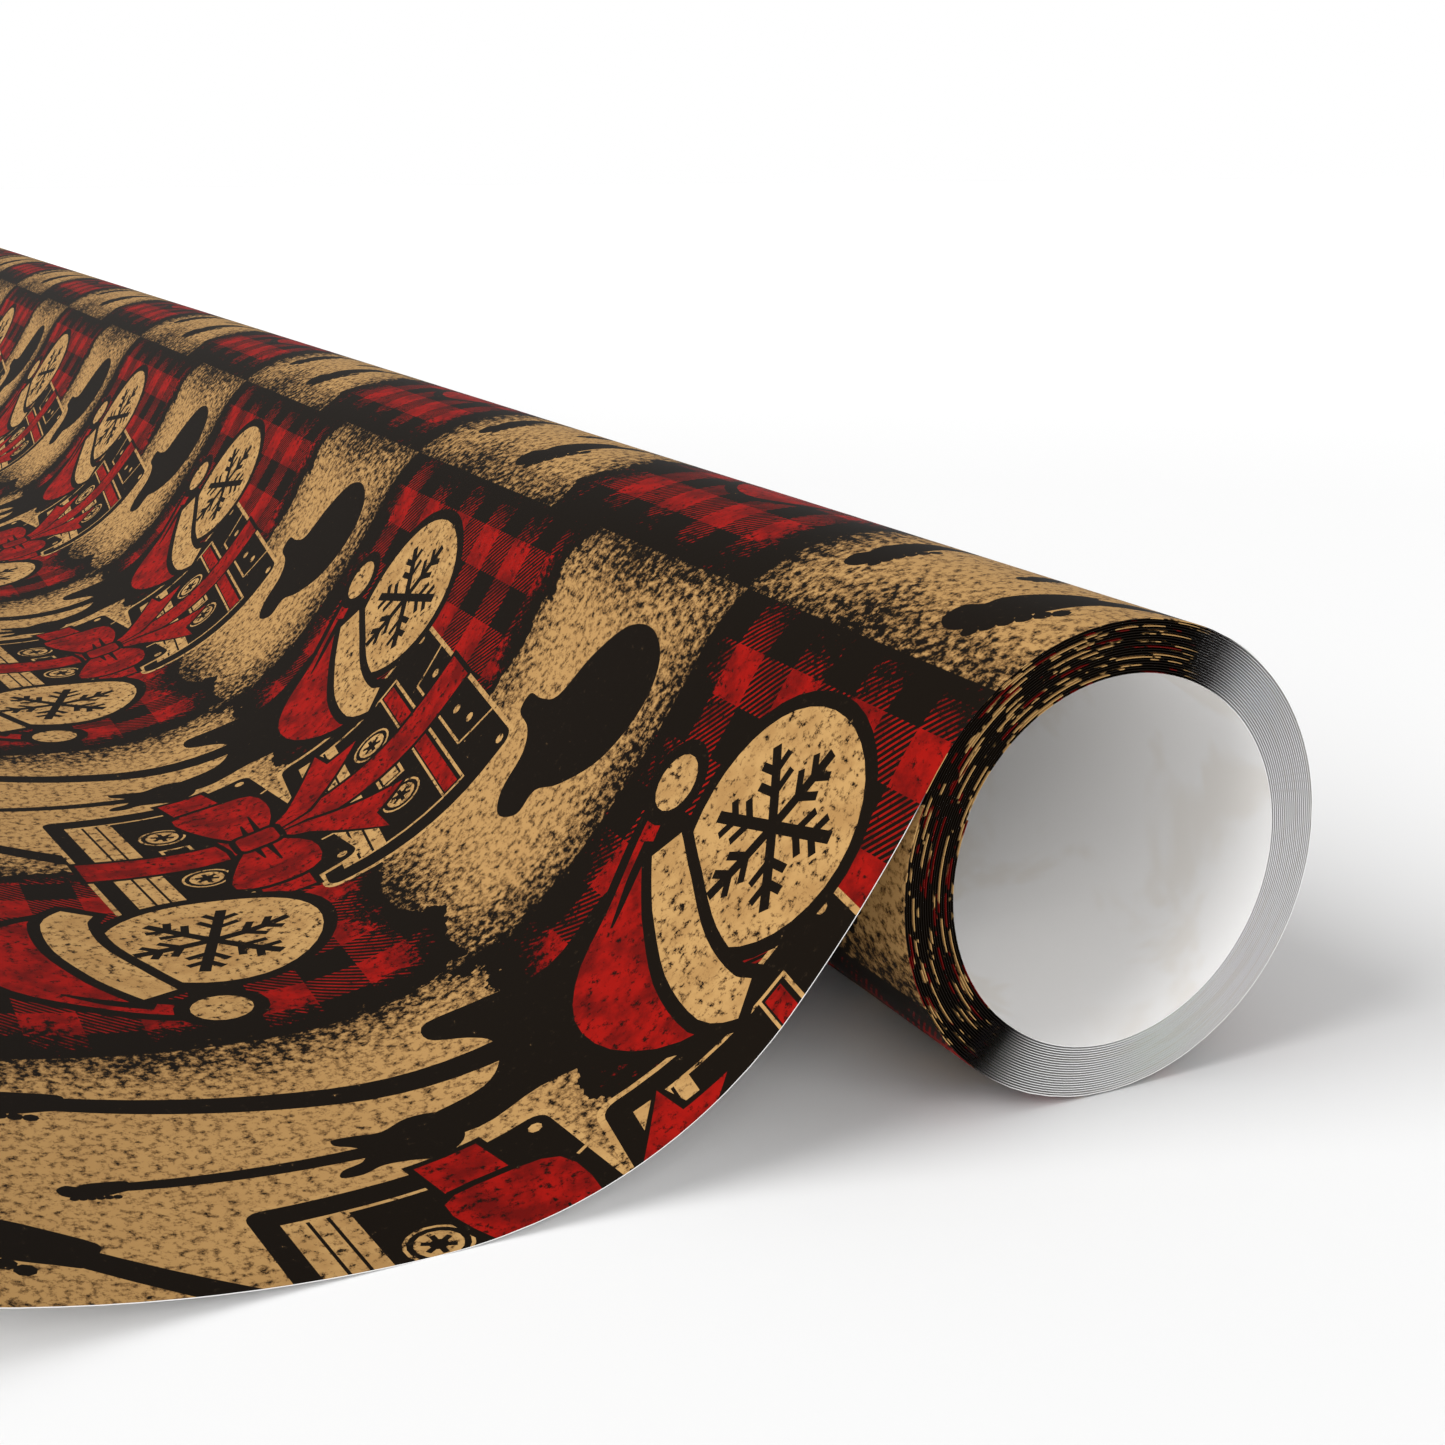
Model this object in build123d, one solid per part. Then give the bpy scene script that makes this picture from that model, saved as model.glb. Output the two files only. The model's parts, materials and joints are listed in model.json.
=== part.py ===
from build123d import *
import os
from math import ceil, cos, pi, radians, sin

# A roll of gift-wrapping paper with its outer end drawn off and laid on a table.
# The whole object is one web of paper. It is modelled turn by turn.
# The roll's axis is X. The paper leaves over the top of the roll towards -Y and
# comes down to the table, which is the plane Z = -ROLL_RADIUS.
# The origin is on the axis, at the middle of the roll's length.
# Angles are about +X, counted from +Y towards +Z. All sizes are in millimetres.

# Paper
SHEET_WIDTH = 762.0  # 30 in, along the roll's axis
WEB_LENGTH = 2438.0  # 8 ft, from the inner end to the free edge
PAPER = 0.10

# Roll
ROLL_RADIUS = 19.0
BORE_RADIUS = 14.67
TURNS = 22
LEAVING_ANGLE = 150.0  # where the outer turn lets go of the roll
CLIMB_ANGLE = 8.0  # each turn climbs onto the next one over this angle
ARCS_PER_TURN = 24  # both faces of a turn are cut alike, so any mesh keeps the wall even

# Sheet drawn off the roll
FIRST_RUN = 1.05 * ROLL_RADIUS  # nearly straight, just below the roll
FIRST_RUN_TURN = 10.5
BEND_END_SLOPE = 8.0  # the bend stops here, clear above the sheet that slides below it
LIFT_RADIUS = 5.5 * ROLL_RADIUS  # past the table line the paper keeps a little curl
LIFT_ANGLE = 20.0
PULL_OUT = 30.0  # how far the free sheet can be drawn out
LAP_SPARE = 2.0  # what then stays under the bend
LONGEST_ARC = 6.0  # longer bends are cut into equal arcs, for the same reason as a turn

TABLE = -ROLL_RADIUS
TO_THE_LEFT = 180.0  # the direction of -Y

pitch = (ROLL_RADIUS - PAPER - BORE_RADIUS) / (TURNS - 1)
turn_arc = 360.0 - CLIMB_ANGLE
start_angle = LEAVING_ANGLE - turn_arc


def polar(radius, angle):
    return radius * cos(radians(angle)), radius * sin(radians(angle))


def across_the_web(edges):
    """A solid as wide as the sheet, from the edges around its section in Y and Z."""
    section = Plane.YZ.offset(-SHEET_WIDTH / 2) * Face(Wire(edges))
    return Solid.extrude(section, Vector(SHEET_WIDTH, 0, 0))


def turn(index, climbs):
    """One turn of paper, counted from 0 at the bore. If it climbs, it ends where the next begins."""
    radii = [BORE_RADIUS + index * pitch, BORE_RADIUS + index * pitch + PAPER]
    arc = turn_arc / ARCS_PER_TURN
    edges = [
        CenterArc((0, 0), radius, start_angle + i * arc, arc)
        for radius in radii
        for i in range(ARCS_PER_TURN)
    ]
    edges.append(Line(*[polar(radius, start_angle) for radius in radii]))
    ends = [polar(radius, LEAVING_ANGLE) for radius in radii]
    if climbs:
        tops = [polar(radius + pitch, LEAVING_ANGLE + CLIMB_ANGLE) for radius in radii]
        edges += [Line(end, top) for end, top in zip(ends, tops)]
        ends = tops
    edges.append(Line(*ends))
    return across_the_web(edges)


def follow(place, heading, length, bend):
    """The place and heading at the end of a tangent span. bend is in degrees, positive to the left."""
    half = radians(bend) / 2
    chord = length * sin(half) / half if bend else length
    y, z = polar(chord, heading + bend / 2)
    return (place[0] + y, place[1] + z), heading + bend


def faces_of_paper(place, heading):
    """The two points beside a point of the paper's middle line, one on each face."""
    y, z = polar(PAPER / 2, heading + 90)
    return (place[0] + y, place[1] + z), (place[0] - y, place[1] - z)


def strip(place, heading, length, bend):
    """A strip of paper whose middle line is one tangent span."""
    pieces = ceil(length / LONGEST_ARC) if bend else 1
    edges = [Line(*faces_of_paper(place, heading))]
    for _ in range(pieces):
        first = faces_of_paper(place, heading)
        middle = faces_of_paper(*follow(place, heading, length / pieces / 2, bend / pieces / 2))
        place, heading = follow(place, heading, length / pieces, bend / pieces)
        last = faces_of_paper(place, heading)
        if bend:
            edges += [ThreePointArc(*points) for points in zip(first, middle, last)]
        else:
            edges += [Line(*points) for points in zip(first, last)]
    edges.append(Line(*faces_of_paper(place, heading)))
    return across_the_web(edges)


parts = {}


def lay(place, heading, spans):
    """Makes one strip after another, each a part, from (name, length, bend)."""
    for name, length, bend in spans:
        parts[name] = strip(place, heading, length, bend)
        place, heading = follow(place, heading, length, bend)


# The wound turns. All but the last climb onto the next one, so that the paper runs on.
for i in range(TURNS - 1):
    parts[f"turn_{i + 1:02d}"] = turn(i, climbs=i < TURNS - 2)

# The outer turn stays with the sheet's bend, and the wound turns revolve inside it.
parts["outer_turn"] = turn(TURNS - 1, climbs=False)

# The sheet falls from the roll and bends to the table. The landing radius is what lets it
# meet the table level. The bend is made up to where it is just clear of the table.
leaving = polar(ROLL_RADIUS - PAPER / 2, LEAVING_ANGLE)
leaving_heading = LEAVING_ANGLE + 90
landing, landing_heading = follow(leaving, leaving_heading, FIRST_RUN, -FIRST_RUN_TURN)
landing_turn = landing_heading - TO_THE_LEFT
landing_radius = (landing[1] - TABLE - PAPER / 2) / (1 - cos(radians(landing_turn)))
half_bend = (landing_turn - BEND_END_SLOPE) / 2
half_length = landing_radius * radians(half_bend)
lay(
    leaving,
    leaving_heading,
    [
        ("sheet_fall", FIRST_RUN, -FIRST_RUN_TURN),
        ("bend_upper", half_length, -half_bend),
        ("bend_lower", half_length, -half_bend),
    ],
)

# The free sheet lies on the table and curls up a little towards its edge. Under the bend it
# has a lap as long as the pull, which stands for the paper that is still to be drawn off.
landing_length = landing_radius * radians(landing_turn)
touch, _ = follow(landing, landing_heading, landing_length, -landing_turn)
lap = landing_radius * sin(radians(BEND_END_SLOPE)) + PULL_OUT + LAP_SPARE
wound_length = sum(2 * pi * (BORE_RADIUS + PAPER / 2 + i * pitch) for i in range(TURNS))
lift_length = LIFT_RADIUS * radians(LIFT_ANGLE)
edge_length = WEB_LENGTH - wound_length - FIRST_RUN - landing_length - lift_length
lay(
    (touch[0] + lap, touch[1]),
    TO_THE_LEFT,
    [
        ("table_lap", lap, 0),
        ("lift_lower", lift_length / 2, -LIFT_ANGLE / 2),
        ("lift_upper", lift_length / 2, -LIFT_ANGLE / 2),
        ("free_edge", edge_length, 0),
    ],
)

os.makedirs("parts", exist_ok=True)
for name, solid in parts.items():
    export_step(solid, f"parts/{name}.step")
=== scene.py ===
import json
from math import ceil, cos, floor, hypot, pi, radians, sin

import bpy
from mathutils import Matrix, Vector
from mathutils.geometry import delaunay_2d_cdt


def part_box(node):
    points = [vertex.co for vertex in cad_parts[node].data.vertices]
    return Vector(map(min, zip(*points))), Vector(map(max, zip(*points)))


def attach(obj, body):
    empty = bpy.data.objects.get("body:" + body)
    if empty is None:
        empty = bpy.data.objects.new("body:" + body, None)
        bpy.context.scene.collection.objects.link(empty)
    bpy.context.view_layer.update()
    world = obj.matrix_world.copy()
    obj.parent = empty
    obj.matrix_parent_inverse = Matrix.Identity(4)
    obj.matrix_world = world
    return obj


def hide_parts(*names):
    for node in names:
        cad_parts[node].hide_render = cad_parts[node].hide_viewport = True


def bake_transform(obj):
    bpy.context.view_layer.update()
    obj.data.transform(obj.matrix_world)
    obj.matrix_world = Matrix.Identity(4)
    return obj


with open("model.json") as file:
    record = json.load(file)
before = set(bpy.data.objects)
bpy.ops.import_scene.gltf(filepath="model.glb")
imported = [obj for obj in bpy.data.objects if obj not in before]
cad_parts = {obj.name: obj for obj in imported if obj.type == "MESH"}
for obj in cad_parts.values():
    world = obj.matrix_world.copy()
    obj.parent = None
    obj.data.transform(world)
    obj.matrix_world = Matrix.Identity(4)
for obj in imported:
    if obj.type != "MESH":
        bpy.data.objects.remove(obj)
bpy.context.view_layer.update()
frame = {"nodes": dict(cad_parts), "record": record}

# ---------------------------------------------------------------- sizes, in metres
# Angles are about +X, in degrees, counted from +Y towards +Z, as in the CAD model.

turn_nodes = sorted(name for name in frame["nodes"] if name.startswith("turn_"))
sheet_nodes = sorted(name for name in frame["nodes"] if not name.startswith("turn_"))
bore_mount = next(m for m in frame["record"]["mounts"] if m["name"] == "bore")

TURNS = len(turn_nodes) + 1
RADIUS = -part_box("outer_turn")[0].z
BORE = bore_mount["dims"]["r_mm"] / 1000
HALF_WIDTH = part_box("outer_turn")[1].x
WIDTH = 2 * HALF_WIDTH
TABLE = -RADIUS
FREE_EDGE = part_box("free_edge")[0].y

SHEET_PAPER = 0.00007
WOUND_PAPER = 0.00005  # thinner than the real paper, to leave wider gaps between the turns
LEAVING_ANGLE = 150.0
CLIMB_ANGLE = 8.0
TURN_ARC = 360.0 - CLIMB_ANGLE
START_ANGLE = LEAVING_ANGLE - TURN_ARC
FIRST_RUN = 1.05 * RADIUS
FIRST_RUN_TURN = 10.5
LIFT_RADIUS = 5.5 * RADIUS
LIFT_ANGLE = 20.0
TO_THE_LEFT = 180.0

FIRST_MIDDLE = BORE + WOUND_PAPER / 2
LAST_MIDDLE = RADIUS - SHEET_PAPER / 2
PITCH = (LAST_MIDDLE - FIRST_MIDDLE) / (TURNS - CLIMB_ANGLE / 360)

# The printed design repeats in a square tile. It is laid from the near end of the roll, and
# a row of tiles begins a little before the paper leaves the roll.
TILE = 4.87 * RADIUS
FIRST_TILE = 2.04 * RADIUS
ROW_BEFORE_LEAVING = 0.38 * RADIUS

TINY = 1e-6

# The kinds of face: four inks, the plain reverse and the cut edge.
GROUND, BLACK, TAN, RED, REVERSE, CUT = range(6)


# ---------------------------------------------------------------- the paper's route


def polar(radius, angle):
    return Vector((radius * cos(radians(angle)), radius * sin(radians(angle))))


def follow(place, heading, length, bend):
    """The place and heading at the end of a tangent span, as in the CAD model."""
    half = radians(bend) / 2
    chord = length * sin(half) / half if abs(half) > TINY else length
    return place + polar(chord, heading + bend / 2), heading + bend


def wound(turns):
    """The place and heading of the paper's middle line after so many turns from the bore."""
    angle = START_ANGLE + 360 * turns
    return polar(FIRST_MIDDLE + PITCH * turns, angle), angle + 90


def wound_length(turns):
    return 2 * pi * turns * (FIRST_MIDDLE + PITCH * turns / 2)


ALL_TURNS = TURNS - CLIMB_ANGLE / 360
leaving, leaving_heading = wound(ALL_TURNS)
landing, landing_heading = follow(leaving, leaving_heading, FIRST_RUN, -FIRST_RUN_TURN)
landing_turn = landing_heading - 360 * floor(landing_heading / 360) - TO_THE_LEFT
landing_radius = (landing.y - TABLE - SHEET_PAPER / 2) / (1 - cos(radians(landing_turn)))
DRAWN_OFF = [
    (FIRST_RUN, -FIRST_RUN_TURN),
    (landing_radius * radians(landing_turn), -landing_turn),
    (LIFT_RADIUS * radians(LIFT_ANGLE), -LIFT_ANGLE),
]
lifted, lifted_heading = leaving, leaving_heading
for length, bend in DRAWN_OFF:
    lifted, lifted_heading = follow(lifted, lifted_heading, length, bend)
DRAWN_OFF.append(((lifted.x - FREE_EDGE) / cos(radians(LIFT_ANGLE)), 0))

OUTER_TURN_LENGTH = wound_length(ALL_TURNS) - wound_length(TURNS - 1)
SHEET_LENGTH = OUTER_TURN_LENGTH + sum(length for length, bend in DRAWN_OFF)
ROW_START = OUTER_TURN_LENGTH - ROW_BEFORE_LEAVING


def on_sheet(v):
    """The place and heading of the sheet at v, from where its outer turn begins."""
    if v <= OUTER_TURN_LENGTH:
        return wound(TURNS - 1 + (ALL_TURNS - TURNS + 1) * v / OUTER_TURN_LENGTH)
    v -= OUTER_TURN_LENGTH
    place, heading = leaving, leaving_heading
    for length, bend in DRAWN_OFF:
        part = min(v, length)
        place, heading = follow(place, heading, part, bend * part / length)
        v -= part
    return place, heading


def tile_place(u, v):
    """Where a point of the sheet is in the design, in tiles."""
    return (u - FIRST_TILE) / TILE, (v - ROW_START) / TILE


# ---------------------------------------------------------------- materials


def srgb(red, green, blue):
    def linear(c):
        c /= 255
        return c / 12.92 if c <= 0.04045 else ((c + 0.055) / 1.055) ** 2.4

    return linear(red), linear(green), linear(blue), 1.0


TAN_INK = srgb(180, 142, 89)
TAN_WORN = srgb(163, 125, 76)
BLACK_INK = srgb(18, 12, 6)
RED_INK = srgb(146, 16, 9)
# The worn red. Between the wound turns it is also painted shade for the red print seen deep in the
# gaps.
RED_WORN_AND_SHADE = srgb(98, 11, 7)
TAN_STAIN = srgb(122, 91, 54)
RED_STAIN = srgb(74, 9, 6)
BLACK_STAIN = srgb(40, 31, 21)
WHITE_PAPER = srgb(244, 243, 242)
SHOW_THROUGH = srgb(228, 220, 208)
CUT_PAPER = srgb(232, 231, 230)


class Graph:
    """A material, with short names for the few nodes that these use."""

    def __init__(self, name, roughness, specular=0.03):
        self.material = bpy.data.materials.new(name)
        self.material.use_nodes = True
        self.nodes = self.material.node_tree.nodes
        self.links = self.material.node_tree.links
        self.shader = self.nodes["Principled BSDF"]
        self.shader.inputs["Roughness"].default_value = roughness
        self.shader.inputs["Specular IOR Level"].default_value = specular

    def add(self, kind, inputs, **settings):
        node = self.nodes.new("ShaderNode" + kind)
        for name, value in settings.items():
            setattr(node, name, value)
        for name, value in inputs.items():
            if isinstance(value, bpy.types.NodeSocket):
                self.links.new(value, node.inputs[name])
            else:
                node.inputs[name].default_value = value
        return node

    def math(self, operation, *values):
        return self.add("Math", dict(enumerate(values)), operation=operation).outputs[0]

    def noise(self, at, scale, detail=5, roughness=0.6, distortion=0.0):
        inputs = {"Vector": at, "Scale": scale, "Detail": detail}
        inputs |= {"Roughness": roughness, "Distortion": distortion}
        return self.add("TexNoise", inputs).outputs[0]

    def grain(self, at):
        """The fine, sponged-on grain that all the inks are broken up by."""
        return self.noise(at, scale=105, roughness=0.72)

    def speckled(self, over, colour, stain, speck, edge=0.02):
        """A colour with specks of another where over is above 0, and a stain around each."""
        stained = self.mix(self.step(over, -0.10, 0.01), colour, stain)
        return self.mix(self.step(over, 0.0, edge), stained, speck)

    def step(self, value, zero_at, one_at):
        """0 on one side and 1 on the other, with a soft edge between the two values."""
        inputs = {"Value": value, "From Min": zero_at, "From Max": one_at}
        return self.add("MapRange", inputs, interpolation_type="SMOOTHSTEP").outputs[0]

    def less(self, value, by, share):
        """A value, less a share of another."""
        return self.math("SUBTRACT", value, self.math("MULTIPLY", by, share))

    def mix(self, factor, first, second):
        """The first colour where the factor is 0, and the second where it is 1."""
        return self.add("Mix", {0: factor, 6: first, 7: second}, data_type="RGBA").outputs[2]

    def at(self):
        """The place in the design, in tiles."""
        return self.add("UVMap", {}, uv_map="paper").outputs[0]

    def in_tile(self):
        """The place within one tile, from 0 to 1 each way, and its two parts."""
        tile = self.add("VectorMath", {0: self.at()}, operation="FRACTION").outputs[0]
        parts = self.add("SeparateXYZ", {0: tile}).outputs
        return tile, parts[0], parts[1]

    def finish(self, colour):
        """The colour, and fine fibres that catch the light."""
        self.links.new(colour, self.shader.inputs["Base Color"])
        fibre = self.noise(self.at(), scale=420, detail=3)
        bump = self.add("Bump", {"Height": fibre, "Strength": 0.06, "Distance": 0.00002})
        self.links.new(bump.outputs[0], self.shader.inputs["Normal"])
        return self.material


# The patchwork under the motifs: left, top, right and bottom of each patch in the tile.
TAN_PATCHES = [(0.01, 0.02, 0.39, 0.45), (0.50, 0.41, 0.99, 0.985)]
PLAID_PATCHES = [(0.38, 0.0, 0.99, 0.43), (0.02, 0.45, 0.495, 0.99)]
PLAID_CHECK = 0.105
HATCH = 0.0085
RAGGED = 0.17  # how far the patches' edges wander, from one extreme to the other
SHADES = (0.35, 0.62)  # the noise at which an ink is wholly one shade, and wholly the other
INK_ROUGHNESS = 0.5


def printed_ground():
    """A patchwork of speckled tan and worn red plaid, with black between the patches."""
    g = Graph("printed_ground", INK_ROUGHNESS)
    tile, a, b = g.in_tile()
    grain = g.grain(tile)
    cloud = g.math("SUBTRACT", g.noise(tile, scale=7, roughness=0.62), 0.5)

    def outside(patches):
        """How far outside the patches a point is, less than 0 within them."""
        least = None
        for left, top, right, bottom in patches:
            across = g.math("MAXIMUM", g.math("SUBTRACT", left, a), g.math("SUBTRACT", a, right))
            down = g.math("MAXIMUM", g.math("SUBTRACT", top, b), g.math("SUBTRACT", b, bottom))
            distance = g.math("MAXIMUM", across, down)
            least = g.math("MINIMUM", least, distance) if least else distance
        return g.math("ADD", least, g.math("MULTIPLY", cloud, RAGGED))

    def stripes(place, period, dark_share):
        return g.math("LESS_THAN", g.math("FRACT", g.math("DIVIDE", place, period)), dark_share)

    fade = g.step(outside(TAN_PATCHES), -0.12, 0.12)
    over = g.math("SUBTRACT", grain, g.less(0.575, fade, 0.27))
    tans = g.mix(g.noise(tile, scale=18), TAN_WORN, TAN_INK)
    ground = g.speckled(over, tans, TAN_STAIN, BLACK_INK, edge=0.08)

    fade = g.step(outside(PLAID_PATCHES), -0.07, 0.02)
    over = g.math("SUBTRACT", grain, g.less(0.64, fade, 0.33))
    dark = [stripes(place, PLAID_CHECK, 0.5) for place in (a, b)]
    both = g.math("MULTIPLY", *dark)
    either = g.math("MAXIMUM", *dark)
    hatched = g.math("MULTIPLY", either, stripes(g.math("SUBTRACT", a, b), HATCH, 0.62))
    worn = g.noise(tile, scale=22, roughness=0.65)
    reds = g.mix(g.step(worn, *SHADES), RED_WORN_AND_SHADE, RED_INK)
    reds = g.speckled(over, reds, RED_STAIN, BLACK_INK)
    plaid = g.mix(g.math("MAXIMUM", both, hatched), reds, BLACK_INK)

    # The plaid's scraps lie over the ground, except where they have worn away.
    return g.finish(g.mix(g.math("LESS_THAN", fade, 0.98), ground, plaid))


def ink(name, colour, worn_colour, stain, speck, limit):
    """A printed ink, a little uneven. It has specks where the grain is over the limit."""
    g = Graph(name, INK_ROUGHNESS)
    tile, _, _ = g.in_tile()
    shades = g.mix(g.step(g.noise(tile, scale=26), *SHADES), worn_colour, colour)
    cloud = g.math("MULTIPLY", g.noise(tile, scale=9, detail=3), 0.14)
    over = g.math("SUBTRACT", g.math("ADD", g.grain(tile), cloud), limit)
    return g.finish(g.speckled(over, shades, stain, speck))


def reverse_paper():
    """The white reverse, with the print showing through as soft shadows."""
    g = Graph("white_reverse", roughness=0.5, specular=0.3)
    shapes = g.noise(g.at(), scale=7, detail=3, roughness=0.5, distortion=0.6)
    shadows = g.math("MULTIPLY", g.step(shapes, 0.52, 0.62), 0.35)
    return g.finish(g.mix(shadows, WHITE_PAPER, SHOW_THROUGH))


# Around the roll's end, the print shows between the turns on this side, the reverse on the other.
PRINT_SIDE = 147.0


def around_the_end(g):
    """A point's distance from the axis, and the cosine of its angle from the print's side."""
    place = g.add("TexCoord", {}).outputs["Object"]
    section = g.add("VectorMath", {0: place, 1: (0, 1, 1)}, operation="MULTIPLY").outputs[0]
    radius = g.add("VectorMath", {0: section}, operation="LENGTH").outputs["Value"]
    side = g.add("VectorMath", {0: section, 1: (0, *polar(1, PRINT_SIDE))}, operation="DOT_PRODUCT")
    return radius, g.math("DIVIDE", side.outputs["Value"], radius)


def wound_colours_and_shade(g, turned):
    """What shows of the design between the turns: runs of each ink, and painted shade in black where
    they end.
    """
    blocks = g.noise(g.at(), scale=7, detail=2, roughness=0.5)
    streaks = g.noise(g.at(), scale=22, detail=3)
    # Painted shade: the red between the turns is the darker worn red.
    inks = g.mix(g.step(blocks, 0.53, 0.54), TAN_INK, RED_WORN_AND_SHADE)
    streaked = g.mix(g.step(streaks, 0.44, 0.46), inks, BLACK_INK)
    # Painted shade: black ink in place of the runs towards the reverse's side of the end.
    return g.mix(g.step(turned, 0.12, 0.32), BLACK_INK, streaked)


def wound_print():
    g = Graph("wound_print", roughness=0.5, specular=0.0)
    _, turned = around_the_end(g)
    # The runs between the turns, with painted shade in black towards the reverse's side.
    return g.finish(wound_colours_and_shade(g, turned))


def cut_paper():
    """The cut edge: white, but on the roll it takes the inks' tones on the print's side, and painted
    shade in black where they meet the white.
    """
    g = Graph("cut_edge", roughness=0.7, specular=0.1)
    radius, turned = around_the_end(g)
    on_roll = g.step(radius, 1.03 * RADIUS, RADIUS)
    # Painted shade: the black where the runs end fades here into the white cut edges.
    inked = g.math("MULTIPLY", g.step(turned, -0.22, 0.12), on_roll)
    return g.finish(g.mix(inked, CUT_PAPER, wound_colours_and_shade(g, turned)))


# ---------------------------------------------------------------- outlines of the motifs
# The design is drawn in hundredths of a tile: across from the near end, and down towards
# the free edge. Outlines are lists of points, and later shapes cover earlier ones.


def between(points, t):
    """On a smooth curve through four points, the place t of the way from the second to the third."""
    p0, p1, p2, p3 = (Vector(p) for p in points)
    start, slope = 2 * p1, p2 - p0
    bend = 2 * p0 - 5 * p1 + 4 * p2 - p3
    twist = 3 * p1 - p0 - 3 * p2 + p3
    return 0.5 * (start + slope * t + bend * t * t + twist * t**3)


def smooth(points, steps=5):
    """A closed curve through the points."""
    count, curve = len(points), []
    for i in range(count):
        four = [points[(i + k - 1) % count] for k in range(4)]
        curve += [between(four, step / steps) for step in range(steps)]
    return curve


def circle(centre, radius, count=36):
    return [Vector(centre) + polar(radius, 360 * i / count) for i in range(count)]


def box(left, top, right, bottom):
    return [Vector(p) for p in ((left, top), (right, top), (right, bottom), (left, bottom))]


CORNER_STEPS = 4


def rounded_box(half_width, half_height, corner):
    loop = []
    for x, y, start in ((1, 1, 0), (-1, 1, 90), (-1, -1, 180), (1, -1, 270)):
        centre = Vector((x * (half_width - corner), y * (half_height - corner)))
        for i in range(CORNER_STEPS + 1):
            loop.append(centre + polar(corner, start + 90 * i / CORNER_STEPS))
    return loop


def bar(first, last, width):
    first, last = Vector(first), Vector(last)
    along = (last - first).normalized() * width / 2
    across = Vector((-along.y, along.x))
    return [first + across, first - across, last - across, last + across]


def brush(points, widths, steps=5):
    """A stroke along a curve through the points, as wide as widths says at each of them."""
    stations = []
    count = len(points)
    for i in range(count - 1):
        four = [points[min(max(i + k - 1, 0), count - 1)] for k in range(4)]
        for step in range(steps + (i == count - 2)):  # the last span has its end too
            t = step / steps
            stations.append((between(four, t), widths[i] * (1 - t) + widths[i + 1] * t))
    left, right = [], []
    for i, (place, width) in enumerate(stations):
        ahead, behind = stations[min(i + 1, len(stations) - 1)][0], stations[max(i - 1, 0)][0]
        along = (ahead - behind).normalized() * width / 2
        left.append(place + Vector((-along.y, along.x)))
        right.append(place - Vector((-along.y, along.x)))
    return left + right[::-1]


def grown(loop, by):
    """The outline moved outwards."""
    count = len(loop)
    area = sum(loop[i - 1].x * loop[i].y - loop[i].x * loop[i - 1].y for i in range(count))
    side = by if area > 0 else -by
    result = []
    for i in range(count):
        before = (loop[i] - loop[i - 1]).normalized()
        after = (loop[(i + 1) % count] - loop[i]).normalized()
        out = Vector((before.y + after.y, -before.x - after.x)) / max(1 + before.dot(after), 0.5)
        result.append(loop[i] + side * out)
    return result


def placed(shapes, at, angle=0.0, size=1.0, flip=1):
    """Shapes turned, sized, mirrored if flip is -1, and moved to their place in the tile."""
    c, s = size * cos(radians(angle)), size * sin(radians(angle))

    def moved(p):
        return Vector((at[0] + flip * (c * p[0] - s * p[1]), at[1] + s * p[0] + c * p[1]))

    return [(ink_number, [moved(p) for p in loop]) for ink_number, loop in shapes]


def lined(ink_number, loop, line=1.3):
    """A shape in its ink with a black outline around it."""
    return [(BLACK, grown(loop, line)), (ink_number, loop)]


def guitar_neck(start, head, width=1.7):
    """A guitar's neck along +x, and from head on its headstock, with six pegs on one side."""
    slim = width * 0.75
    neck = [Vector(p) for p in ((start, -width), (head, -slim), (head, slim), (start, width))]
    outline = [(-0.6, -1.2), (0.2, -2.4), (4, -2.4), (7.4, -2.0), (8.8, -1.1), (10.6, -1.7)]
    outline += [(12.4, -0.2), (11.8, 2.2), (9.2, 3.3), (4.5, 3.0), (1.2, 1.9), (-1, 1)]
    shapes = [(BLACK, neck), (BLACK, smooth([(head + x, y) for x, y in outline], 3))]
    return shapes + [(BLACK, circle((head + 2.4 + 1.5 * i, 3.6), 0.85, 8)) for i in range(6)]


def guitar(head, neck_width, body_size=1.0):
    """A solid-body guitar with two horns: body about the origin, neck along +x."""
    body = [(-14, 0), (-12.5, 6.3), (-7, 9.2), (-1.5, 7.2), (3.5, 6.4), (8, 8.2), (12, 7.8)]
    body += [(11, 5.2), (7, 3.6), (5.5, 1.4), (5.5, -1.4), (7, -3.2), (9.6, -5.0)]
    body += [(9.4, -7.4), (5, -7.3), (0, -6.4), (-6, -8.8), (-12, -6.6)]
    outline = smooth([Vector(p) * body_size for p in body], 4)
    return [(BLACK, outline)] + guitar_neck(3, head, neck_width)


def guitar_body():
    """The body of the long-necked guitar, whose neck goes under the cassettes."""
    bout = [(5.2, 15), (6.6, 10), (11, 7.6), (16.2, 8.6), (20.2, 13), (22.4, 18.2)]
    horns = [(25.4, 19.4), (28.4, 19.6), (28.2, 21.8), (24.6, 22.8), (22.2, 25.2), (21.2, 29.6)]
    horns += [(18.4, 31.8), (15.2, 30.6), (15.0, 27.6), (11.4, 25.6), (7.0, 21.2)]
    return [(BLACK, smooth(bout + horns))]


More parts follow.
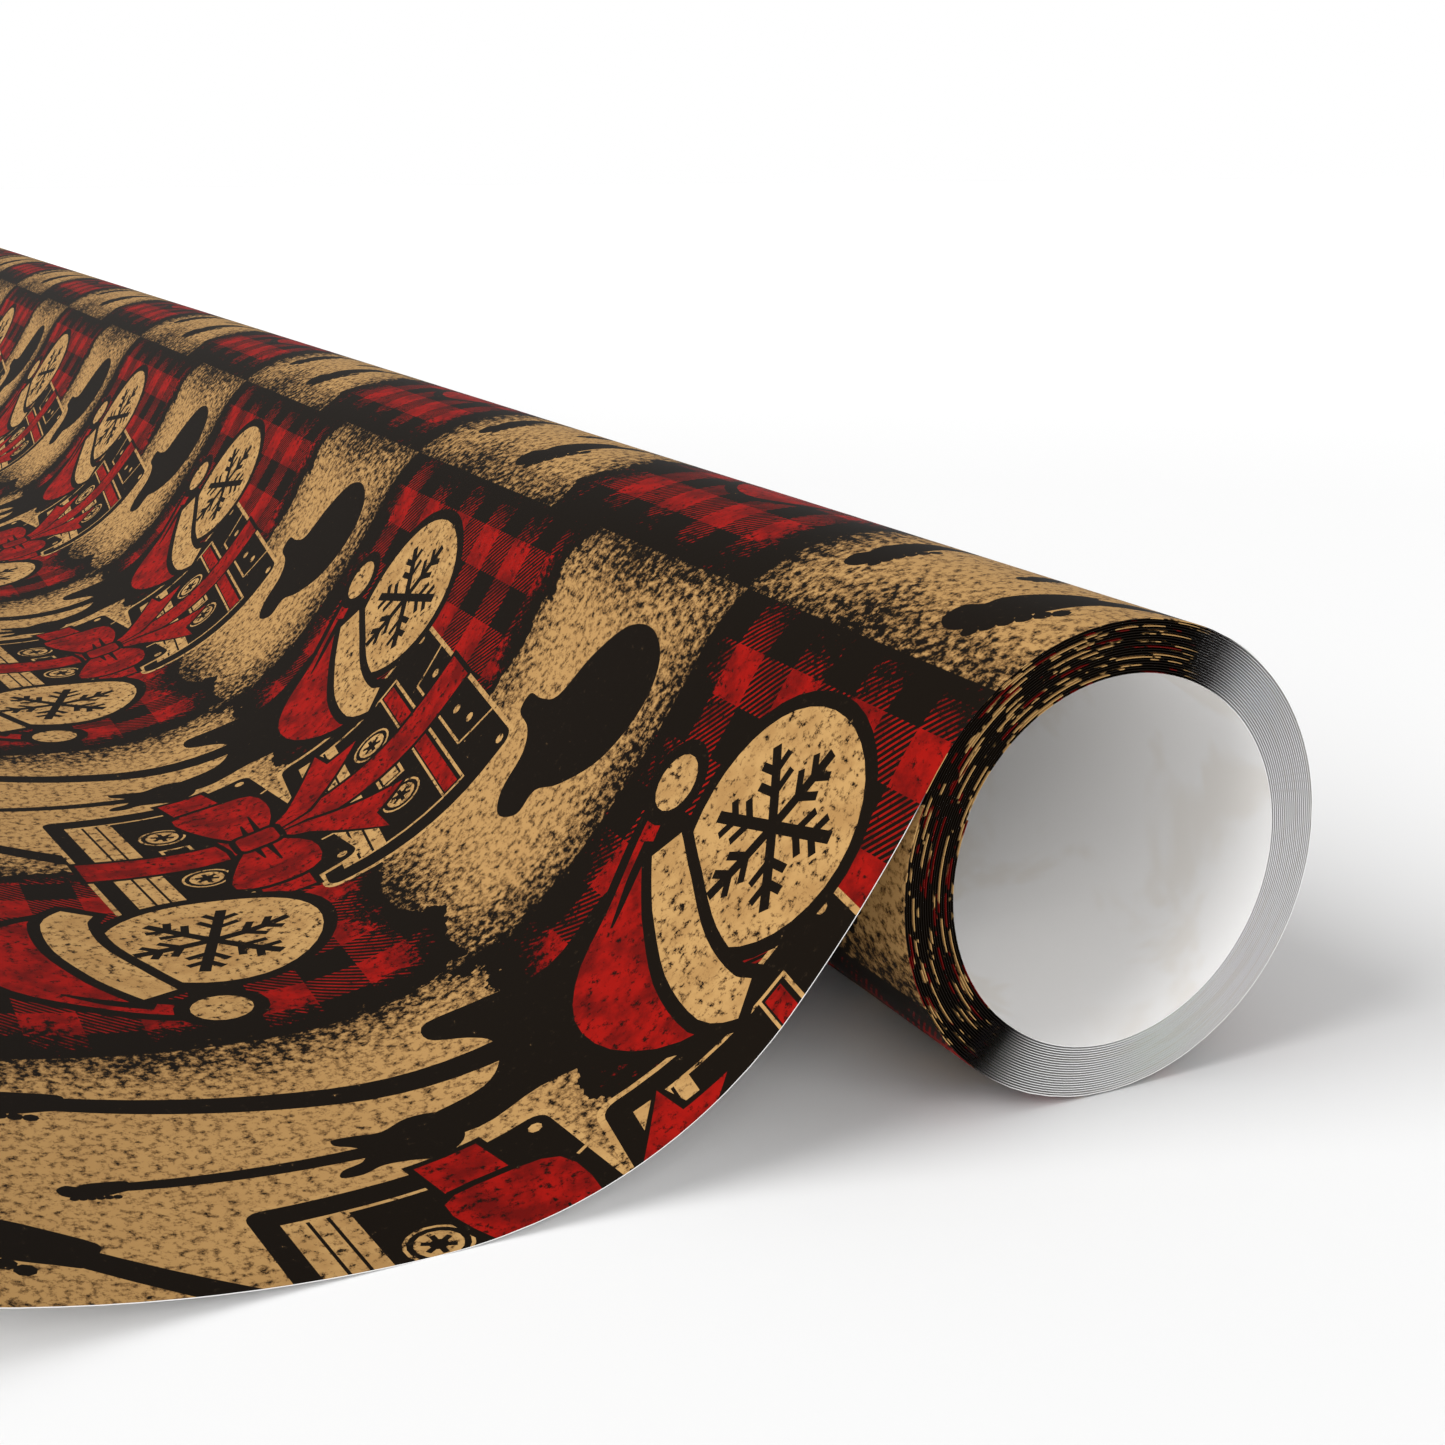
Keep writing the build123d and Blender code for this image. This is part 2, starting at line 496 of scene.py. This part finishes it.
def cassette(stripe):
    """A tape cassette, face on, with its label, two hubs and the raised edge along one side."""
    shapes = [(TAN, rounded_box(19.2, 13.3, 1.6)), (BLACK, rounded_box(18.6, 12.7, 1.4))]
    trapezoid = [(-11, -12.7), (-9.5, -7.2), (9.5, -7.2), (11, -12.7)]
    shapes += [(TAN, bar(p, q, 0.35)) for p, q in zip(trapezoid, trapezoid[1:])]
    for x, y in ((-7.5, -10), (-3.5, -9.4), (3.5, -9.4), (7.5, -10), (-17, -11.2), (17, -11.2)):
        shapes.append((TAN, circle((x, y), 0.62, 8)))
    shapes += [(TAN, box(-16, -5.6, 16, 10.6)), (BLACK, box(-15.6, -5.2, 15.6, 10.2))]
    if stripe:
        shapes.append((RED, box(-15.2, -4.7, 15.2, -2.8)))
        shapes.append((TAN, box(-15.6, -2.6, 15.6, -2.3)))
    shapes += [(TAN, box(-15.6, 5.4, 15.6, 10.2))]
    shapes += [(BLACK, box(-15.6, y, 15.6, y + 0.3)) for y in (6.9, 8.5)]
    for x in (-8, 8):
        shapes += [(TAN, circle((x, 1.5), 2.7, 18)), (BLACK, circle((x, 1.5), 2.4, 18))]
        shapes.append((TAN, circle((x, 1.5), 1.9, 14)))
        for i in range(6):
            shapes.append((BLACK, bar((x, 1.5), Vector((x, 1.5)) + polar(1.35, 60 * i), 0.5)))
        shapes.append((BLACK, circle((x, 1.5), 0.75, 8)))
    shapes += [(TAN, box(-3.6, -0.3, 3.6, 3.3)), (BLACK, box(-3.2, 0.1, 3.2, 2.9))]
    shapes += [(TAN, box(-2.9, 0.4, -0.6, 2.6))]
    return shapes


def bauble():
    """A round tree ornament with a snowflake on it, under a stocking cap with a pompom."""
    shapes = [(BLACK, circle((0, 0), 12.6)), (TAN, circle((0, 0), 11.1))]
    for arm in range(6):
        turn = 60 * arm + 12
        shapes.append((BLACK, bar((0, 0), polar(8.3, turn), 1.15)))
        for side in (-1, 1):
            for out, long in ((3.4, 2.6), (5.6, 2.2)):
                fork = polar(out, turn)
                shapes.append((BLACK, bar(fork, fork + polar(long, turn + 52 * side), 0.85)))
    cap = [(-9.5, 12), (-7.5, 18.5), (-1.5, 22.8), (5.5, 23.2), (11.5, 19.5), (15.2, 13)]
    cap += [(17.6, 7.5), (18.2, 4.2), (16.4, 4.0), (14.6, 8), (10.5, 11.5), (1, 13.5)]
    shapes += lined(RED, smooth(cap, 3), 1.4)
    shapes.append((BLACK, brush([(15.9, 7), (14.5, 11), (12.2, 15.2)], [1.5, 1.3, 0.3])))
    band = [(-10.4, 12.6), (-7, 14), (0, 13), (7.5, 9.6), (13, 6.3)]
    shapes += lined(TAN, brush(band, [3.6, 4.6, 4.8, 4.8, 3.8], 4), 1.3)
    shapes += lined(TAN, circle((17.4, 1.2), 2.9, 18), 1.5)
    return shapes


def ribbon():
    """A ribbon down over both cassettes and across the lower one, tied in a bow."""
    down = [(45.4, 21.6), (51.4, 20.8), (52.8, 45), (53.0, 72.2), (47.2, 71.8), (47.9, 46)]
    across = [(32.6, 50.2), (50, 49.8), (71.6, 54.2), (71.0, 59.6), (50, 55.4), (33.4, 55.4)]
    left_tail = [(50.6, 52.5), (46.2, 47), (35.2, 40.2), (40, 40.2), (41.9, 35.6), (49.2, 46.5)]
    right_tail = [(50.6, 52.5), (51.8, 45.6), (59.8, 35.8), (60.2, 40.2), (64.4, 40.6)]
    right_tail += [(54.6, 47.6)]
    left_loop = [(49.4, 51), (43.6, 47.6), (37.6, 48.2), (36.6, 52.6), (38.4, 57.6), (44, 56.4)]
    left_loop += [(49.2, 53.6)]
    right_loop = [(51.8, 51), (58, 48.8), (64.6, 49.6), (66, 54.4), (64.6, 59.2), (58, 57.4)]
    right_loop += [(52, 53.8)]
    knot = (50.6, 52.2)
    shapes = []
    for loop in (down, across, left_tail, right_tail):
        shapes += lined(RED, [Vector(p) for p in loop], 0.7)
    for loop in (left_loop, right_loop):
        shapes += lined(RED, smooth(loop, 3), 0.8)
    for side in (-1, 1):
        for y, reach in ((51.6, 8), (53.0, 6)):
            crease = [(knot[0] + 1.8 * side, y), (knot[0] + reach * side, y - 0.2)]
            shapes.append((BLACK, brush(crease, [0.9, 0.2])))
    shapes += lined(RED, [p + Vector(knot) for p in rounded_box(2.2, 2.3, 0.8)], 0.8)
    return shapes


def design():
    """Every shape of one tile, from the back to the front."""
    shapes = guitar_body() + placed(guitar_neck(35, 83), (15, 19), 53.3)
    shapes += placed(guitar(54, 2.2, body_size=1.6), (82, 41), 78.6, size=0.80)
    shapes += placed(guitar(49, 2.2), (75.5, 60), 90.7, size=0.42)
    shapes += placed(cassette(stripe=True), (47, 34.5), -7)
    shapes += placed(cassette(stripe=False), (51.8, 59), 6)
    shapes += ribbon()
    shapes += placed(bauble(), (74.6, 18))
    shapes += placed(bauble(), (25.6, 63), 6, flip=-1)
    return shapes


# ---------------------------------------------------------------- cutting the design into the sheet
# The sheet is cut flat, in millimetres: u across from the near end and v along the paper.

MM = 1000.0
SAME_POINT = 1e-4  # points closer than this, in mm, are one
ROLL_STEP = 6.0  # degrees of roll between two cross lines
BEND_STEP = 2.5  # mm between them where the sheet bends
FLAT_STEP = 7.5  # mm between them where it is flat
LINES_PER_TILE = 5  # along the paper


def cross_lines():
    """Where the sheet is cut across, so that it can follow its route."""
    count = ceil(TURN_ARC / ROLL_STEP)
    lines = [OUTER_TURN_LENGTH * i / count for i in range(count + 1)]
    for length, bend in DRAWN_OFF:
        count = ceil(length * MM / (BEND_STEP if bend else FLAT_STEP))
        start = lines[-1]
        lines += [start + length * (i + 1) / count for i in range(count)]
    return lines


def cut(width, shapes, lines):
    """One column of the sheet, width wide, as points, triangles and the ink of each triangle."""
    points, faces, edges = [], [], []
    tall = SHEET_LENGTH * MM

    def add(loop):
        start = len(points)
        area = sum(loop[i - 1].x * p.y - p.x * loop[i - 1].y for i, p in enumerate(loop))
        points.extend(loop if area > 0 else loop[::-1])
        faces.append(list(range(start, len(points))))

    add(box(0, 0, width, tall))
    inks = [GROUND]
    scale = TILE * MM / 100
    for row in range(floor(-ROW_START / TILE), ceil((SHEET_LENGTH - ROW_START) / TILE)):
        for column in range(-2, 2):  # shapes may stick out of their tile
            corner = Vector((FIRST_TILE + column * TILE, ROW_START + row * TILE)) * MM
            for ink_number, loop in shapes:
                moved = [corner + p * scale for p in loop]
                across, along = [p.x for p in moved], [p.y for p in moved]
                if max(across) > 0 and min(across) < width and max(along) > 0 and min(along) < tall:
                    add(moved)
                    inks.append(ink_number)

    step = TILE * MM / LINES_PER_TILE
    grid = [((0, v * MM), (width, v * MM)) for v in lines[1:-1]]
    grid += [((i * step, 0), (i * step, tall)) for i in range(1, ceil(width / step - TINY))]
    for first, last in grid:
        edges.append((len(points), len(points) + 1))
        points += [Vector(first), Vector(last)]

    # Each triangle knows the shapes that it is in. The last of them is the one on top.
    made = delaunay_2d_cdt(points, edges, faces, 0, SAME_POINT, True)
    kept = [(face, inks[max(within)]) for face, within in zip(made[2], made[5]) if 0 in within]
    return made[0], [face for face, _ in kept], [ink_number for _, ink_number in kept]


def cut_sheet(lines):
    """The whole sheet: full columns of one tile's width, and what is left over."""
    shapes = design()
    whole = floor(WIDTH / TILE)
    columns = [cut(TILE * MM, shapes, lines)] * whole
    columns.append(cut((WIDTH - whole * TILE) * MM, shapes, lines))
    points, faces, inks, known = [], [], [], {}
    for number, (column, column_faces, column_inks) in enumerate(columns):
        for face, ink_number in zip(column_faces, column_inks):
            corners = []
            for i in face:
                u, v = number * TILE + column[i].x / MM, column[i].y / MM
                key = round(u / TINY), round(v / TINY)
                if key not in known:
                    known[key] = len(points)
                    points.append((u, v))
                corners.append(known[key])
            if len(set(corners)) == len(corners):
                faces.append(corners)
                inks.append(ink_number)
    return points, faces, inks


# ---------------------------------------------------------------- paper as a mesh


def nearest(points, chain, u, v):
    """The place in a chain of points of the one that is nearest to (u, v)."""

    def away(place):
        point = points[chain[place]]
        return hypot(point[0] - u, point[1] - v)

    return min(range(len(chain)), key=away)


def border(points, faces, lines):
    """The chains of points along the sheet's four sides, in turn: first, far, last and near."""
    edges = {(i, j) for face in faces for i, j in zip(face, face[1:] + face[:1])}
    onward = {i: j for i, j in edges if (j, i) not in edges}
    corners = [
        nearest(points, range(len(points)), u, v) for u, v in box(0, lines[0], WIDTH, lines[-1])
    ]
    sides = []
    for start, stop in zip(corners, corners[1:] + corners[:1]):
        chain = [start]
        while chain[-1] != stop:
            chain.append(onward[chain[-1]])
        sides.append(chain)
    return sides


def bands(points, sides, lines):
    """The plain side of the sheet: one face from each cross line to the next."""
    first, far, last, near = sides
    near = near[::-1]
    result = []
    for start, stop in zip(lines, lines[1:]):
        band = near[nearest(points, near, 0, start) : nearest(points, near, 0, stop) + 1]
        if stop == lines[-1]:
            band = band[:-1] + last[::-1][:-1]
        opposite = far[nearest(points, far, WIDTH, start) : nearest(points, far, WIDTH, stop) + 1]
        band += opposite[::-1]
        if start == lines[0]:
            band += first[::-1][1:-1]
        result.append(band)
    return result


def paper(name, thickness, points, faces, inks, lines, route, materials):
    """A sheet with two faces and cut edges. The points are (u, v), and v follows the route."""
    count = len(points)
    stations = {v: route(v) for v in {p[1] for p in points}}
    outward = {v: polar(1, heading - 90) for v, (_, heading) in stations.items()}
    verts = []
    for side in (thickness / 2, -thickness / 2):
        for u, v in points:
            place = stations[v][0] + side * outward[v]
            verts.append((HALF_WIDTH - u, place.x, place.y))

    sides = border(points, faces, lines)
    rim = [[j, i, i + count, j + count] for side in sides for i, j in zip(side, side[1:])]
    back = [[i + count for i in band] for band in bands(points, sides, lines)]
    mesh = bpy.data.meshes.new(name)
    mesh.from_pydata(verts, [], faces + back + rim)
    used = sorted(materials)
    slots = inks + [REVERSE] * len(back) + [CUT] * len(rim)
    mesh.polygons.foreach_set("material_index", [used.index(slot) for slot in slots])
    mesh.polygons.foreach_set("use_smooth", [True] * len(mesh.polygons))
    for slot in used:
        mesh.materials.append(materials[slot])

    layer = mesh.uv_layers.new(name="paper")
    normals = []
    for polygon in mesh.polygons:
        for loop in polygon.loop_indices:
            vertex = mesh.loops[loop].vertex_index
            u, v = points[vertex % count]
            layer.data[loop].uv = tile_place(u, v)
            if slots[polygon.index] == CUT:
                normals.append(polygon.normal)
            else:
                y, z = outward[v] * (1 if vertex < count else -1)
                normals.append((0, y, z))
    mesh.normals_split_custom_set(normals)
    piece = bpy.data.objects.new(name, mesh)
    bpy.context.scene.collection.objects.link(piece)
    return piece


TURN_STEP = 3.0  # degrees between two cross lines of a wound turn


def wound_turn(number, materials):
    """One wound turn, from the bore out: number 0 lines the bore."""
    count = ceil(360 / TURN_STEP)
    base = wound_length(number)
    length = wound_length(number + 1) - base

    def route(v):
        return wound(number + (v - base) / length)

    lines = [base + length * i / count for i in range(count + 1)]
    points = [(u, v) for v in lines for u in (0, WIDTH)]
    faces = [[2 * i, 2 * i + 1, 2 * i + 3, 2 * i + 2] for i in range(count)]
    name = turn_nodes[number] + "_paper"
    return paper(name, WOUND_PAPER, points, faces, [GROUND] * count, lines, route, materials)


# ---------------------------------------------------------------- floor, light and camera

WHITE = (1, 1, 1, 1)
SKY_STRENGTH = 0.50
# Name, strength, spread in degrees, and the direction that it comes from.
LIGHTS = [
    ("key", 2.6, 42.0, (-0.06, -0.78, 0.62)),
    ("fill", 1.5, 60.0, (0.95, -0.10, 0.42)),
]
FLOOR_SIZE = 8.0
FLOOR_NEAR = 0.81  # the floor's tone by the roll's near end
FLOOR_PAINTED_FADE = (0.3, 1.3)  # how far from there the painted brightening begins to fade it to white, and it is white


def sky():
    """A soft sky that lights the scene, seen as a plain white backdrop."""
    world = bpy.data.worlds.new("studio")
    bpy.context.scene.world = world
    world.use_nodes = True
    nodes, links = world.node_tree.nodes, world.node_tree.links
    light = nodes["Background"]
    light.inputs["Color"].default_value = WHITE
    light.inputs["Strength"].default_value = SKY_STRENGTH
    backdrop = nodes.new("ShaderNodeBackground")
    backdrop.inputs["Color"].default_value = WHITE
    seen = nodes.new("ShaderNodeLightPath")
    either = nodes.new("ShaderNodeMixShader")
    links.new(seen.outputs["Is Camera Ray"], either.inputs[0])
    links.new(light.outputs[0], either.inputs[1])
    links.new(backdrop.outputs[0], either.inputs[2])
    links.new(either.outputs[0], nodes["World Output"].inputs[0])


def pale_floor():
    """A matt floor, centred under the roll's near end, painted brighter away from it until it is
    white: painted light that blends it into the white backdrop.
    """
    bpy.ops.mesh.primitive_plane_add(size=FLOOR_SIZE, location=(HALF_WIDTH, 0, TABLE))
    floor_plane = bpy.context.object
    floor_plane.name = "floor"
    g = Graph("pale_floor", roughness=0.9, specular=0.0)
    place = g.add("TexCoord", {}).outputs["Object"]
    away = g.add("VectorMath", {0: place}, operation="LENGTH").outputs["Value"]
    # Painted light: the floor's colour brightens to white with distance from the roll's near end.
    fade = {"Value": away, "From Min": FLOOR_PAINTED_FADE[0], "From Max": FLOOR_PAINTED_FADE[1]}
    fade |= {"To Min": FLOOR_NEAR}
    g.links.new(g.add("MapRange", fade).outputs[0], g.shader.inputs["Base Color"])
    floor_plane.data.materials.append(g.material)


def lamps():
    """A large soft key light, and a fill light into the near end."""
    for name, strength, spread, source in LIGHTS:
        data = bpy.data.lights.new(name, "SUN")
        data.energy = strength
        data.angle = radians(spread)
        lamp = bpy.data.objects.new(name, data)
        lamp.rotation_euler = Vector(source).to_track_quat("Z", "Y").to_euler()
        bpy.context.scene.collection.objects.link(lamp)


# The camera stands off the near end, to the left of the roll and above it.
CAMERA_PLACE = (6.049, -4.737, 2.726)  # in roll radii, from the middle of the near end
CAMERA_DIP = 15.89  # degrees below level
CAMERA_TURN = 63.75  # degrees from looking along +Y, towards -X


def camera():
    data = bpy.data.cameras.new("camera")
    data.lens = 50
    data.sensor_width = 36
    data.clip_start = 0.01
    viewer = bpy.data.objects.new("camera", data)
    viewer.location = Vector((HALF_WIDTH, 0, 0)) + Vector(CAMERA_PLACE) * RADIUS
    viewer.rotation_euler = (radians(90 - CAMERA_DIP), 0, radians(CAMERA_TURN))
    bpy.context.scene.collection.objects.link(viewer)
    bpy.context.scene.camera = viewer


# ---------------------------------------------------------------- the scene

camera()
sky()
pale_floor()
lamps()
bpy.context.scene.view_settings.view_transform = "Standard"

reverse, cut_edge = reverse_paper(), cut_paper()
sheet_materials = {
    GROUND: printed_ground(),
    BLACK: ink("black_ink", BLACK_INK, BLACK_INK, BLACK_STAIN, TAN_WORN, 0.765),
    TAN: ink("tan_ink", TAN_INK, TAN_WORN, TAN_STAIN, BLACK_INK, 0.665),
    RED: ink("red_ink", RED_INK, RED_WORN_AND_SHADE, RED_STAIN, BLACK_INK, 0.68),
    REVERSE: reverse,
    CUT: cut_edge,
}
turn_materials = {GROUND: wound_print(), REVERSE: reverse, CUT: cut_edge}

lines = cross_lines()
sheet = paper(
    "printed_sheet", SHEET_PAPER, *cut_sheet(lines), lines, on_sheet, sheet_materials
)
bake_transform(sheet)
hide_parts(*sheet_nodes)

for number, node in enumerate(turn_nodes):
    turn = wound_turn(number, turn_materials)
    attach(turn, "wound_roll")
    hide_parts(node)
